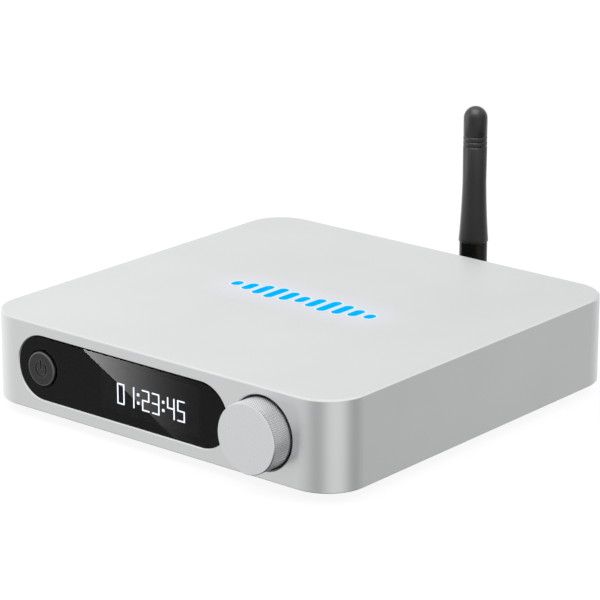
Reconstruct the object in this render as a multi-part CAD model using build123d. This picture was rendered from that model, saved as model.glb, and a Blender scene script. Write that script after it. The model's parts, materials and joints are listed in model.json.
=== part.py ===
from build123d import *
import os

# Driving dimensions, in millimetres. The case.
case_width = 120.0
case_depth = 120.0
shell_height = 24.2
corner_radius = 11.2
wall = 2.5
top_thickness = 2.0
top_chamfer = 0.45
lower_chamfer = 0.2
rim = 1.3
foot_stand = 2.8
base_thickness = 1.5
base_recess = 0.3
boss_radius = 3.0
boss_inset = 9.5
vent_length = 15.0
vent_width = 1.6
vent_pitch = 5.0
vent_reach = 30.0
vents_in_row = 7

# Feet.
foot_radius = 7.0
foot_inset = 17.0
foot_round = 0.6
foot_dish_radius = 4.4
foot_dish_depth = 0.4

# Clearances.
seat_clearance = 0.1
hole_clearance = 0.15
thread_clearance = 0.03
running_clearance = 0.05
press_clearance = 0.02
overrun = 1.0

# Screws: the case's countersunk ones and the small pan-headed ones.
case_screw_radius = 1.25
case_screw_length = 6.0
case_head_radius = 2.3
case_head_height = 1.2
small_screw_radius = 1.0
small_screw_length = 4.0
small_head_radius = 1.8
small_head_height = 1.2
drive_width = 0.5
drive_depth = 0.6

# Front window and lens.
window_inset = 13.0
window_gap = 1.5
window_height = 17.45
window_chamfer = 0.3
lens_clearance = 0.2
lens_recess = 0.15
lens_thickness = 2.0

# Power button and its switch.
button_radius = 4.7
button_proud = 0.6
button_gap = 0.4
button_edge = 0.35
button_flange_radius = 5.6
button_flange_thickness = 0.8
button_travel = 0.5
button_rest_gap = 0.05
button_stem_radius = 1.5
sign_ring_radius = 1.85
sign_line_width = 0.5
sign_line_reach = 2.5
sign_depth = 0.2
sign_notch_share = 0.55
switch_width = 6.0
switch_depth = 3.5
plunger_radius = 1.7
plunger_length = 2.0
plunger_proud = 1.0

# Carrier behind the front wall, front board.
carrier_thickness = 2.5
carrier_side_gap = 1.0
board_gap = 6.4
board_thickness = 1.6
board_edge_gap = 0.8
board_side_margin = 0.5
post_radius = 2.1
post_side_inset = 3.2
post_end_gap = 3.0

# Display: module, characters.
display_width = 34.0
display_height = 13.0
display_glass = 2.2
display_setback = 0.05
backlight_inset = 1.5
display_place_share = 0.534
digit_drop = 1.53
digit_width = 2.45
digit_height = 5.6
digit_stroke = 0.32
digit_pitch = 3.45
colon_pitch = 1.75
colon_size = 0.7
digit_thickness = 0.15
display_text = "01:23:45"
colon_rise_share = 0.2

# Control knob and encoder.
knob_inset = 23.0
knob_radius = 9.2
knob_edge = 0.15
knob_proud = 6.0
knob_sink = 1.5
well_gap = 0.5
knob_hollow_radius = 7.2
knob_hollow_depth = 3.0
knob_bore_depth = 3.0
knob_travel = 0.5
shaft_radius = 3.0
shaft_flat = 1.5
shaft_tip_gap = 0.2
encoder_width = 11.0
encoder_height = 11.0
bushing_radius = 3.5
bushing_length = 5.0
bushing_nut_flats = 10.0
bushing_nut_thickness = 1.5
shaft_tail = 3.5
pusher_radius = 2.5
pusher_length = 1.2
pusher_room = 0.2

# Lit inlay in the top.
bar_pitch = 4.6
bar_width = 2.8
inlay_depth = 9.2
bar_shares = (0.4, 0.62, 0.86, 1.0, 0.8, 0.56, 0.8, 1.0, 0.86, 0.62, 0.4)
guide_margin = 6.0
guide_thickness = 1.2
guide_wall = 1.0
guide_wall_height = 2.0
light_board_thickness = 1.0
diode_size = 1.6
diode_height = 0.7
light_post_radius = 2.5
light_screw_length = 2.2

# Main board and what stands on it.
standoff_height = 3.4
standoff_radius = 2.4
standoff_inset = 4.5
stud_radius = 1.9
main_board_boss_gap = 1.0
main_board_front_gap = 3.0
main_board_rear_gap = 1.9
standoff_rear_share = 0.78
processor_size = 16.0
processor_height = 1.6
processor_place_shares = (0.09, 0.24)
wireless_width = 16.0
wireless_depth = 20.0
wireless_height = 2.4
wireless_place_shares = (-0.54, 0.67)
converter_size = 9.0
converter_height = 1.2
converter_place_shares = (0.62, 0.73)
capacitor_radius = 3.15
capacitor_height = 8.0
capacitor_edge = 0.5
capacitor_pitch = 8.0
capacitor_place_shares = (0.47, 0.49)
capacitors_in_row = 3
capacitor_rows = 2

# Flat cables and their sockets.
socket_width = 14.0
socket_depth = 4.0
socket_height = 2.4
ribbon_width = 12.0
ribbon_thickness = 0.3
ribbon_bend = 1.0
ribbon_lead_out = 2.6
ribbon_run = 2.4
light_ribbon_width = 4.0
light_ribbon_reach = 4.0

# Rear panel.
rear_opening_side_gap = 1.5
rear_opening_end_gap = 3.6
rear_opening_radius = 2.5
flange_lap = 1.2
flange_thickness = 1.2
panel_recess = 1.0
tab_width = 3.6
tab_rise = 6.4
panel_screw_inset = 2.1
port_row_inset = 4.15
panel_screw_rise = 4.4

# Line output jacks and coaxial jack.
line_housing_width = 10.0
line_housing_depth = 12.0
line_housing_rise = 5.0
barrel_radius = 4.15
barrel_bore = 3.45
barrel_reach = 8.5
barrel_edge = 0.3
barrel_root_radius = 3.8
line_nose_radius = 5.0
line_nose_proud = 0.5
insert_recess = 1.0
insert_tail = 4.0
insert_bore = 1.65
insert_bore_depth = 8.0

# Optical jack.
optical_width = 9.7
optical_depth = 10.0
optical_nose = 9.2
nose_proud = 0.5
channel_size = 6.0
channel_depth = 9.0
flap_pocket = 1.0
flap_thickness = 0.7
flap_side_gap = 0.1
flap_inset = 0.9
flap_knuckle_room = 0.6
flap_end_room = 0.25
trunnion_radius = 0.4
trunnion_reach = 0.7
emitter_size = 6.0
emitter_depth = 3.0
emitter_nose_radius = 1.1

# Network jack.
network_width = 16.0
network_height = 11.5
network_depth = 15.5
network_sheet = 0.3
network_socket_width = 11.8
network_socket_height = 8.2
network_socket_depth = 12.5
network_socket_rise = 2.3
network_latch_width = 6.5
network_latch_height = 1.6
network_insert_recess = 0.4

# Power inlet.
inlet_width = 8.94
inlet_height = 3.26
inlet_sheet = 0.3
inlet_depth = 7.35
inlet_back = 1.2
tongue_width = 6.7
tongue_thickness = 0.7
tongue_length = 5.0

# Antenna jack and its lead.
jack_thread_radius = 3.175
jack_reach = 7.4
jack_flange_radius = 4.3
jack_flange_thickness = 2.0
ferrule_radius = 1.6
ferrule_length = 4.0
jack_nut_flats = 8.0
jack_nut_thickness = 1.8
lead_radius = 0.7
lead_plug_radius = 1.5
lead_plug_height = 2.0
lead_entry_share = 0.6
lead_along_shares = (0.0, 0.0, 0.3, 0.68, 1.0)
lead_back_shares = (0.0, 0.3, 0.62, 0.88, 1.0)
lead_drop_shares = (0.0, 0.0, 0.3, 0.75, 1.0)
lead_bend_share = 0.45

# Antenna.
whip_offset = 16.4
coupling_radius = 4.6
coupling_length = 7.5
coupling_gap = 0.3
coupling_edge = 0.4
coupling_lip = 1.8
neck_radius = 2.6
hinge_radius = 4.0
hinge_tongue = 3.2
hinge_side_gap = 0.1
hinge_gap = 0.3
tongue_radius = 3.85
hinge_pin_radius = 1.0
hinge_pin_recess = 0.3
barrel_length = 11.2
spigot_radius = 3.0
spigot_length = 6.0
boot_length = 39.5
boot_foot_radius = 4.285
boot_mid_radius = 3.72
boot_tip_radius = 3.42
flare_length = 17.7
boot_foot_edge = 0.25
ring_depth = 0.1
ring_width = 0.35
ring_pitch = 1.45
first_ring = 8.6
ring_count = 3
radiator_radius = 1.2
radiator_tip_gap = 6.0

# Levels and planes that follow from the case.
edge_z = foot_stand
top_z = edge_z + shell_height
mid_z = edge_z + shell_height / 2
ceiling_z = top_z - top_thickness
plate_z = (edge_z + base_recess, edge_z + base_recess + base_thickness)
floor_z = plate_z[1]
front_y = -case_depth / 2
rear_y = case_depth / 2
front_inner_y = front_y + wall
rear_inner_y = rear_y - wall
boss_x = case_width / 2 - boss_inset
boss_y = case_depth / 2 - boss_inset

# Places along the front assembly, from the lens back to the front board.
knob_x = case_width / 2 - knob_inset
window_ends = (window_inset - case_width / 2, knob_x - knob_radius - well_gap - window_gap)
window_width = window_ends[1] - window_ends[0]
window_x = (window_ends[0] + window_ends[1]) / 2
button_x = window_ends[0] + window_height / 2
button_edge_x = button_x + button_radius + button_gap
display_x = button_edge_x + display_place_share * (window_ends[1] - button_edge_x)
lens_y = (front_y + lens_recess, front_y + lens_recess + lens_thickness)
carrier_y = (front_inner_y, front_inner_y + carrier_thickness)
carrier_half = case_width / 2 - corner_radius - carrier_side_gap
front_board_y = (carrier_y[1] + board_gap, carrier_y[1] + board_gap + board_thickness)
display_y = front_inner_y + display_setback
post_x = carrier_half - post_side_inset
post_rise = (ceiling_z - floor_z) / 2 - post_end_gap
button_flange_y = (
    carrier_y[1] + button_rest_gap,
    carrier_y[1] + button_rest_gap + button_flange_thickness,
)
switch_y = front_board_y[0] - switch_depth
knob_back_y = front_y + knob_sink
knob_floor_y = knob_back_y - knob_hollow_depth
shaft_y = (knob_floor_y - knob_bore_depth + shaft_tip_gap, carrier_y[1] + shaft_tail)
pusher_y = (shaft_y[1], shaft_y[1] + pusher_length)

# Places of the lit inlay, hung below the ceiling.
guide_z = (ceiling_z - guide_thickness, ceiling_z)
light_board_z = (
    guide_z[0] - guide_wall_height - light_board_thickness,
    guide_z[0] - guide_wall_height,
)
bar_half_row = bar_pitch * (len(bar_shares) - 1) / 2
guide_half_length = bar_half_row + bar_width / 2 + guide_margin
guide_half_depth = inlay_depth / 2 + guide_wall * 2
light_post_x = bar_half_row + bar_width / 2 + guide_margin / 2

# Places of the main board and the rear.
main_board_z = (floor_z + standoff_height, floor_z + standoff_height + board_thickness)
board_top_z = main_board_z[1]
panel_inner_y = rear_inner_y - flange_thickness
panel_face_y = rear_y - panel_recess
nose_tip_y = panel_face_y + nose_proud
line_nose_y = panel_face_y + line_nose_proud
main_board_y = (
    front_board_y[1] + main_board_front_gap,
    panel_inner_y - main_board_rear_gap,
)
main_board_width = 2 * (boss_x - boss_radius - main_board_boss_gap)
standoff_x = main_board_width / 2 - standoff_inset
standoff_front_y = main_board_y[0] + standoff_inset
standoff_rear_y = main_board_y[0] + standoff_rear_share * (main_board_y[1] - main_board_y[0])
panel_screw_z = floor_z + panel_screw_rise

# The row of jacks: the antenna's in the middle, the others spread evenly on each side of it.
rear_opening_width = case_width - 2 * (corner_radius + rear_opening_side_gap)
rear_opening_height = shell_height - 2 * rear_opening_end_gap
panel_screw_x = rear_opening_width / 2 - panel_screw_inset
port_row = (jack_nut_flats / 3**0.5, rear_opening_width / 2 - port_row_inset)
right_port_widths = [2 * (line_nose_radius + hole_clearance)] * 3
left_port_widths = [optical_width, network_width + 2 * hole_clearance, inlet_width + 2 * hole_clearance]

# Places of the antenna.
jack_tip_y = panel_face_y + jack_reach
jack_nut_y = (panel_face_y, panel_face_y + jack_nut_thickness)
coupling_y = (jack_nut_y[1] + coupling_gap, jack_nut_y[1] + coupling_gap + coupling_length)
whip_y = rear_y + whip_offset
swivel_y = (coupling_y[1] + coupling_gap, whip_y - hinge_radius - hinge_gap)
boot_z = (mid_z + barrel_length, mid_z + barrel_length + boot_length)

# The row's origin lies on the floor, halfway between the knob's face and the boot's back.
knob_face_y = front_y - knob_proud
origin_y = (knob_face_y + whip_y + boot_foot_radius) / 2


def span(centre, size):
    """The two limits of a size about its centre."""
    return (centre - size / 2, centre + size / 2)


def row_places(widths):
    """The distance of each piece from the middle of the row, with even gaps between their widths."""
    start, end = port_row
    gap = (end - start - sum(widths)) / len(widths)
    places = []
    for width in widths:
        places.append(start + gap + width / 2)
        start += gap + width
    return places


coaxial_x, line_left_x, line_right_x = row_places(right_port_widths)
optical_x, network_x, inlet_x = [-place for place in row_places(left_port_widths)]


def block(x, y, z):
    """A box between its limits along each axis."""
    middle = Pos((x[0] + x[1]) / 2, (y[0] + y[1]) / 2, (z[0] + z[1]) / 2)
    return middle * Box(x[1] - x[0], y[1] - y[0], z[1] - z[0])


def rod_x(x, y, z, radius):
    """A round bar along x, between the two limits in x."""
    return Pos((x[0] + x[1]) / 2, y, z) * Rot(Y=90) * Cylinder(radius, x[1] - x[0])


def rod_y(x, y, z, radius):
    """A round bar along y, between the two limits in y."""
    return Pos(x, (y[0] + y[1]) / 2, z) * Rot(X=90) * Cylinder(radius, y[1] - y[0])


def rod_z(x, y, z, radius):
    """A round bar along z, between the two limits in z."""
    return Pos(x, y, (z[0] + z[1]) / 2) * Cylinder(radius, z[1] - z[0])


def prism_y(outline, x, y, z):
    """An outline drawn in x and z, carried between the two limits in y."""
    return extrude(Plane.XZ.offset(-y[1]) * Pos(x, z, 0) * outline, y[1] - y[0])


def prism_z(outline, x, y, z):
    """An outline drawn in x and y, carried between the two limits in z."""
    return extrude(Pos(x, y, z[0]) * outline, z[1] - z[0])


def group(shapes):
    """Several separate solids under one name."""
    return Compound([solid for shape in shapes for solid in shape.solids()])


def corners(x, y):
    """The four places at plus and minus x and y."""
    return [(sx * x, sy * y) for sx in (-1, 1) for sy in (-1, 1)]


def drive_recess(top):
    """The cross-shaped recess in a screw head, cut down from its top."""
    arm = small_head_radius
    depth = (top - drive_depth, top + overrun)
    return block((-arm, arm), span(0, drive_width), depth) + block(span(0, drive_width), (-arm, arm), depth)


def pan_screw(length):
    """A small screw that points down, with the underside of its head at z = 0."""
    head = rod_z(0, 0, (0, small_head_height), small_head_radius)
    head = fillet(head.faces().sort_by(Axis.Z)[-1].edges(), small_head_height / 2)
    shank = rod_z(0, 0, (-length, 0), small_screw_radius)
    return head + shank - drive_recess(small_head_height)


def case_screw():
    """A countersunk screw that points up, with its flat head's face at z = 0."""
    head = Pos(0, 0, case_head_height / 2) * Cone(case_head_radius, case_screw_radius, case_head_height)
    shank = rod_z(0, 0, (case_head_height, base_thickness + case_screw_length), case_screw_radius)
    return head + shank - Rot(X=180) * drive_recess(0)


def board_place(shares):
    """A place on the main board: a share of its half width, and of its length from the front."""
    length = main_board_y[1] - main_board_y[0]
    return shares[0] * main_board_width / 2, main_board_y[0] + shares[1] * length


def case_outline(inset):
    """The case's rounded square, drawn in by an inset."""
    return RectangleRounded(case_width - 2 * inset, case_depth - 2 * inset, corner_radius - inset)


def bar_outline(share, margin):
    """One lit bar's rounded outline, long way along y, with a margin round it."""
    return Rot(Z=90) * SlotOverall(inlay_depth * share + 2 * margin, bar_width + 2 * margin)


def bar_places():
    """The x of each lit bar with its length share."""
    return [(index * bar_pitch - bar_half_row, share) for index, share in enumerate(bar_shares)]


def top_shell():
    """The metal case: top and four walls in one, open below."""
    shell = prism_z(case_outline(0), 0, 0, (edge_z, top_z))
    shell = chamfer(shell.faces().sort_by(Axis.Z)[-1].edges(), top_chamfer)
    shell = chamfer(shell.faces().sort_by(Axis.Z)[0].edges(), lower_chamfer)
    shell -= prism_z(case_outline(wall), 0, 0, (edge_z - overrun, ceiling_z))
    shell -= prism_z(case_outline(rim), 0, 0, (edge_z - overrun, floor_z))
    for x, y in corners(boss_x, boss_y):
        shell += rod_z(x, y, (floor_z, ceiling_z), boss_radius)
        depth = (floor_z - overrun, floor_z + case_screw_length + overrun)
        shell -= rod_z(x, y, depth, case_screw_radius + thread_clearance)
    for x in (-light_post_x, light_post_x):
        shell += rod_z(x, 0, (light_board_z[1], ceiling_z), light_post_radius)
        depth = (light_board_z[1] - overrun, ceiling_z)
        shell -= rod_z(x, 0, depth, small_screw_radius + thread_clearance)
    through = (front_y - overrun, front_inner_y + overrun)
    shell -= prism_y(SlotOverall(window_width, window_height), window_x, through, mid_z)
    shell -= rod_y(knob_x, through, mid_z, knob_radius + well_gap)
    front_face = shell.faces().sort_by(Axis.Y)[0]
    hole_edges = [edge for wire in front_face.inner_wires() for edge in wire.edges()]
    shell = chamfer(hole_edges, window_chamfer)
    opening = RectangleRounded(rear_opening_width, rear_opening_height, rear_opening_radius)
    shell -= prism_y(opening, 0, (rear_inner_y - overrun, rear_y + overrun), mid_z)
    for x, share in bar_places():
        shell -= prism_z(bar_outline(share, seat_clearance), x, 0, (ceiling_z - overrun, top_z + overrun))
    return shell


def base_plate():
    """The bottom sheet, with its vents, screw holes and two tabs for the rear panel."""
    plate = prism_z(case_outline(rim + seat_clearance), 0, 0, plate_z)
    through = (plate_z[0] - overrun, plate_z[1] + overrun)
    for x, y in corners(boss_x, boss_y):
        plate -= rod_z(x, y, through, case_screw_radius + hole_clearance)
        sink = Cone(case_head_radius + hole_clearance, case_screw_radius + hole_clearance, case_head_height)
        plate -= Pos(x, y, plate_z[0] + case_head_height / 2) * sink
    for x, y in standoff_places():
        plate -= rod_z(x, y, through, stud_radius + press_clearance)
    for side in (-1, 1):
        for index in range(vents_in_row):
            x = (index - (vents_in_row - 1) / 2) * vent_pitch
            slot = Rot(Z=90) * SlotOverall(vent_length, vent_width)
            plate -= prism_z(slot, x, side * vent_reach, through)
        x = span(side * panel_screw_x, tab_width)
        tab = block(x, (panel_inner_y - base_thickness, panel_inner_y), (plate_z[0], floor_z + tab_rise))
        bore = (panel_inner_y - base_thickness - overrun, panel_inner_y + overrun)
        radius = small_screw_radius + thread_clearance
        plate += tab - rod_y(side * panel_screw_x, bore, panel_screw_z, radius)
    return plate


def feet():
    """Four rubber feet stuck under the base plate."""
    foot = rod_z(0, 0, (0, plate_z[0]), foot_radius)
    foot = fillet(foot.faces().sort_by(Axis.Z)[0].edges(), foot_round)
    foot -= rod_z(0, 0, (-overrun, foot_dish_depth), foot_dish_radius)
    places = corners(case_width / 2 - foot_inset, case_depth / 2 - foot_inset)
    return group([Pos(x, y, 0) * foot for x, y in places])


def base_screws():
    """Four countersunk screws, up through the base plate into the case's bosses."""
    return group([Pos(x, y, plate_z[0]) * case_screw() for x, y in corners(boss_x, boss_y)])


def light_guide():
    """The clear inlay: one bar in each slot of the top, on a plate with two long legs."""
    length = 2 * guide_half_length
    plate = block(span(0, length), span(0, 2 * guide_half_depth), guide_z)
    for side in (-1, 1):
        y = span(side * (guide_half_depth - guide_wall / 2), guide_wall)
        plate += block(span(0, length), y, (light_board_z[1], guide_z[1]))
        post = light_post_radius + hole_clearance
        plate -= rod_z(side * light_post_x, 0, (guide_z[0] - overrun, guide_z[1] + overrun), post)
    for x, share in bar_places():
        plate += prism_z(bar_outline(share, 0), x, 0, (guide_z[0], top_z))
    return plate


def light_board():
    """The small board below the inlay."""
    board = block(span(0, 2 * guide_half_length), span(0, 2 * guide_half_depth), light_board_z)
    for side in (-1, 1):
        hole = (light_board_z[0] - overrun, light_board_z[1] + overrun)
        board -= rod_z(side * light_post_x, 0, hole, small_screw_radius + hole_clearance)
    return board


def light_diodes():
    """One light diode on the board below each bar."""
    z = (light_board_z[1], light_board_z[1] + diode_height)
    return group([block(span(x, diode_size), span(0, diode_size), z) for x, share in bar_places()])


def light_screws():
    """Two screws that hold the light board to the posts of the top."""
    screw = Rot(X=180) * pan_screw(light_board_thickness + light_screw_length)
    return group([Pos(x, 0, light_board_z[0]) * screw for x in (-light_post_x, light_post_x)])


def flat_cable(points, width, x):
    """A flat cable of a width along x, whose bends run through points given in y and z."""
    path = FilletPolyline(*points, radius=ribbon_bend)
    strip = trace(path, ribbon_thickness)
    return extrude(Plane.YZ.offset(x - width / 2) * strip, width)


def light_cable():
    """The flat cable from the light board's rear edge down to the main board."""
    start = (guide_half_depth, (light_board_z[0] + light_board_z[1]) / 2)
    bend_y = guide_half_depth + light_ribbon_reach
    return flat_cable([start, (bend_y, start[1]), (bend_y, board_top_z)], light_ribbon_width, 0)


def lens_outline():
    """The lens's outline: the window's, less its clearance."""
    return SlotOverall(window_width - 2 * lens_clearance, window_height - 2 * lens_clearance)


def front_lens():
    """The dark lens in the window, with a hole round the button."""
    lens = prism_y(lens_outline(), window_x, lens_y, mid_z)
    hole = (lens_y[0] - overrun, lens_y[1] + overrun)
    return lens - rod_y(button_x, hole, mid_z, button_radius + button_gap)


def front_carrier():
    """The moulded plate behind the front wall: lens seat, button guide, encoder seat, board posts."""
    plate = block((-carrier_half, carrier_half), carrier_y, (floor_z, ceiling_z))
    plate += prism_y(lens_outline(), window_x, (lens_y[1], carrier_y[1]), mid_z)
    through = (lens_y[1] - overrun, carrier_y[1] + overrun)
    plate -= rod_y(button_x, through, mid_z, button_radius + running_clearance)
    width = display_width + 2 * hole_clearance
    height = display_height + 2 * hole_clearance
    plate -= block(span(display_x, width), through, span(mid_z, height))
    plate -= rod_y(knob_x, through, mid_z, bushing_radius + hole_clearance)
    for x, z in corners(post_x, post_rise):
        plate += rod_y(x, (carrier_y[1], front_board_y[0]), mid_z + z, post_radius)
        depth = (carrier_y[1], front_board_y[0] + overrun)
        plate -= rod_y(x, depth, mid_z + z, small_screw_radius + thread_clearance)
    return plate


def display_module():
    """The display: its glass in the carrier's window, its body back to the front board."""
    glass_y = (display_y, display_y + display_glass)
    glass = block(span(display_x, display_width), glass_y, span(mid_z, display_height))
    width = display_width - 2 * backlight_inset
    height = display_height - 2 * backlight_inset
    body = block(span(display_x, width), (glass_y[1], front_board_y[0]), span(mid_z, height))
    return glass + body


def digit(character):
    """One seven-stroke digit, or the two dots of a colon, drawn about the origin in x and z."""
    strokes = {
        "0": "abcdef", "1": "bc", "2": "abdeg", "3": "abcdg", "4": "bcfg",
        "5": "acdfg", "6": "acdefg", "7": "abc", "8": "abcdefg", "9": "abcdfg",
    }
    y = (display_y - digit_thickness, display_y)
    if character == ":":
        rise = digit_height * colon_rise_share
        dot = span(0, colon_size)
        return [block(dot, y, span(side * rise, colon_size)) for side in (-1, 1)]
    wide = digit_width / 2
    tall = digit_height / 2
    inner = digit_stroke / 2
    bars = {
        "a": ((-wide, wide), (tall - digit_stroke, tall)),
        "g": ((-wide, wide), (-inner, inner)),
        "d": ((-wide, wide), (-tall, digit_stroke - tall)),
        "b": ((wide - digit_stroke, wide), (-inner, tall)),
        "c": ((wide - digit_stroke, wide), (-tall, inner)),
        "f": ((-wide, digit_stroke - wide), (-inner, tall)),
        "e": ((-wide, digit_stroke - wide), (-tall, inner)),
    }
    lit = [block(bars[name][0], y, bars[name][1]) for name in strokes[character]]
    whole = lit[0]
    for bar in lit[1:]:
        whole += bar
    return [whole]


def display_digits():
    """The lit characters on the display's face."""
    pitches = [colon_pitch if character == ":" else digit_pitch for character in display_text]
    x = display_x - sum(pitches) / 2
    shapes = []
    for character, pitch in zip(display_text, pitches):
        place = Pos(x + pitch / 2, 0, mid_z - digit_drop)
        shapes += [place * shape for shape in digit(character)]
        x += pitch
    return group(shapes)


def front_board():
    """The upright board that carries the display, the switch and the encoder."""
    z = (floor_z + board_edge_gap, ceiling_z - board_edge_gap)
    half = post_x + post_radius + board_side_margin
    board = block((-half, half), front_board_y, z)
    hole = (front_board_y[0] - overrun, front_board_y[1] + overrun)
    for x, z in corners(post_x, post_rise):
        board -= rod_y(x, hole, mid_z + z, small_screw_radius + hole_clearance)
    return board


def front_screws():
    """Four screws through the front board into the carrier's posts."""
    screw = Rot(X=-90) * pan_screw(board_thickness + small_screw_length)
    places = corners(post_x, post_rise)
    return group([Pos(x, front_board_y[1], mid_z + z) * screw for x, z in places])


def power_sign():
    """The groove of the power sign: a ring open at its top, and a line."""
    y = (front_y - button_proud, front_y - button_proud + sign_depth)
    outer = sign_ring_radius + sign_line_width / 2
    ring = rod_y(button_x, y, mid_z, outer) - rod_y(button_x, y, mid_z, outer - sign_line_width)
    notch_half = sign_ring_radius * sign_notch_share
    notch = block(span(button_x, 2 * notch_half), y, (mid_z, mid_z + sign_ring_radius + sign_line_width))
    line = block(span(button_x, sign_line_width), y, (mid_z, mid_z + sign_line_reach))
    return ring - notch + line


def power_button():
    """The round cap with its flange behind the carrier and the stem that meets the switch."""
    face_y = front_y - button_proud
    cap = rod_y(button_x, (face_y, button_flange_y[0]), mid_z, button_radius)
    cap = fillet(cap.faces().sort_by(Axis.Y)[0].edges(), button_edge)
    cap += rod_y(button_x, button_flange_y, mid_z, button_flange_radius)
    stem_y = (button_flange_y[0], switch_y - plunger_proud)
    cap += rod_y(button_x, stem_y, mid_z, button_stem_radius)
    return cap - power_sign()


def switch_housing():
    """The button's switch on the front board, with a blind bore for its plunger."""
    width = span(button_x, switch_width)
    body = block(width, (switch_y, front_board_y[0]), span(mid_z, switch_width))
    depth = plunger_length - plunger_proud + button_travel + hole_clearance
    bore = (switch_y - overrun, switch_y + depth)
    return body - rod_y(button_x, bore, mid_z, plunger_radius + running_clearance)


def switch_plunger():
    """The switch's plunger, which the button's stem pushes."""
    start = switch_y - plunger_proud
    return rod_y(button_x, (start, start + plunger_length), mid_z, plunger_radius)


def encoder_body():
    """The rotary encoder: its case on the front board and its threaded bushing."""
    case_y = (carrier_y[1], front_board_y[0])
    body = block(span(knob_x, encoder_width), case_y, span(mid_z, encoder_height))
    bushing_y = (carrier_y[1] - bushing_length, carrier_y[1])
    body += rod_y(knob_x, bushing_y, mid_z, bushing_radius)
    room = pusher_y[1] + knob_travel + pusher_room
    return body - rod_y(knob_x, (bushing_y[0] - overrun, room), mid_z, shaft_radius + running_clearance)


def hexagon_nut(flats, radius, x, y):
    """A hexagonal nut along y with a plain bore."""
    nut = prism_y(RegularPolygon(flats / 2, 6, major_radius=False), x, y, mid_z)
    return nut - rod_y(x, (y[0] - overrun, y[1] + overrun), mid_z, radius + thread_clearance)


def encoder_nut():
    """The nut that draws the encoder's bushing against the carrier."""
    y = (carrier_y[0] - bushing_nut_thickness, carrier_y[0])
    return hexagon_nut(bushing_nut_flats, bushing_radius, knob_x, y)


def encoder_pusher():
    """The small disc behind the shaft that moves when the knob is pressed."""
    return rod_y(knob_x, pusher_y, mid_z, pusher_radius)


def encoder_shaft():
    """The knob's shaft, with a flat along its outer end."""
    shaft = rod_y(knob_x, shaft_y, mid_z, shaft_radius)
    flat_z = (mid_z + shaft_radius - shaft_flat, mid_z + shaft_radius + overrun)
    flat_y = (shaft_y[0] - overrun, knob_floor_y)
    return shaft - block(span(knob_x, 2 * shaft_radius), flat_y, flat_z)


def control_knob():
    """The solid-faced knob: hollow behind, with a flatted bore for the shaft."""
    knob = rod_y(knob_x, (knob_face_y, knob_back_y), mid_z, knob_radius)
    ends = [knob.faces().sort_by(Axis.Y)[0], knob.faces().sort_by(Axis.Y)[-1]]
    knob = chamfer([edge for face in ends for edge in face.edges()], knob_edge)
    knob -= rod_y(knob_x, (knob_floor_y, knob_back_y + overrun), mid_z, knob_hollow_radius)
    bore_radius = shaft_radius + press_clearance
    bore_y = (knob_floor_y - knob_bore_depth, knob_floor_y + overrun)
    bore = rod_y(knob_x, bore_y, mid_z, bore_radius)
    flat_z = (mid_z + shaft_radius - shaft_flat + press_clearance, mid_z + shaft_radius + overrun)
    return knob - (bore - block(span(knob_x, 2 * bore_radius), bore_y, flat_z))


def standoff_places():
    """The four places where the main board is held."""
    return [(side * standoff_x, y) for side in (-1, 1) for y in (standoff_front_y, standoff_rear_y)]


def main_board():
    """The main board, held above the base plate."""
    board = block(span(0, main_board_width), main_board_y, main_board_z)
    hole = (main_board_z[0] - overrun, main_board_z[1] + overrun)
    for x, y in standoff_places():
        board -= rod_z(x, y, hole, small_screw_radius + hole_clearance)
    return board


def board_standoffs():
    """Four threaded standoffs, pressed into the base plate by their studs."""
    body = rod_z(0, 0, (floor_z, main_board_z[0]), standoff_radius)
    body += rod_z(0, 0, (plate_z[0], floor_z), stud_radius)
    body -= rod_z(0, 0, (floor_z, main_board_z[0] + overrun), small_screw_radius + thread_clearance)
    return group([Pos(x, y, 0) * body for x, y in standoff_places()])


def board_screws():
    """Four screws that hold the main board on its standoffs."""
    screw = pan_screw(board_thickness + standoff_height - hole_clearance)
    return group([Pos(x, y, board_top_z) * screw for x, y in standoff_places()])


def chip(shares, width, depth, height):
    """A flat component on the main board."""
    x, y = board_place(shares)
    return block(span(x, width), span(y, depth), (board_top_z, board_top_z + height))


def processor():
    """The processor on the main board."""
    return chip(processor_place_shares, processor_size, processor_size, processor_height)


def wireless_module():
    """The screened wireless module on the main board."""
    return chip(wireless_place_shares, wireless_width, wireless_depth, wireless_height)


def converter_chip():
    """The audio converter on the main board."""
    return chip(converter_place_shares, converter_size, converter_size, converter_height)


def capacitors():
    """Rows of round capacitors on the main board."""
    can = rod_z(0, 0, (board_top_z, board_top_z + capacitor_height), capacitor_radius)
    can = fillet(can.faces().sort_by(Axis.Z)[-1].edges(), capacitor_edge)
    start_x, start_y = board_place(capacitor_place_shares)
    places = [
        (start_x + column * capacitor_pitch, start_y + row * capacitor_pitch)
        for row in range(capacitor_rows)
        for column in range(capacitors_in_row)
    ]
    return group([Pos(x, y, 0) * can for x, y in places])


def ribbon_points():
    """The flat cable's corners in y and z, from the front board's socket to the main board's."""
    start = (front_board_y[1] + socket_height, mid_z)
    entry = board_top_z + socket_height / 2
    bend_y = start[0] + ribbon_lead_out
    return [start, (bend_y, mid_z), (bend_y, entry), (bend_y + ribbon_run, entry)]


def ribbon_cable():
    """The flat cable between the front board and the main board."""
    return flat_cable(ribbon_points(), ribbon_width, 0)


def ribbon_sockets():
    """The flat cable's two sockets, one on each board."""
    width = span(0, socket_width)
    upright_y = (front_board_y[1], front_board_y[1] + socket_height)
    front = block(width, upright_y, span(mid_z, socket_depth))
    start = ribbon_points()[-1][0]
    main = block(width, (start, start + socket_depth), (board_top_z, board_top_z + socket_height))
    return group([front, main])


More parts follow.
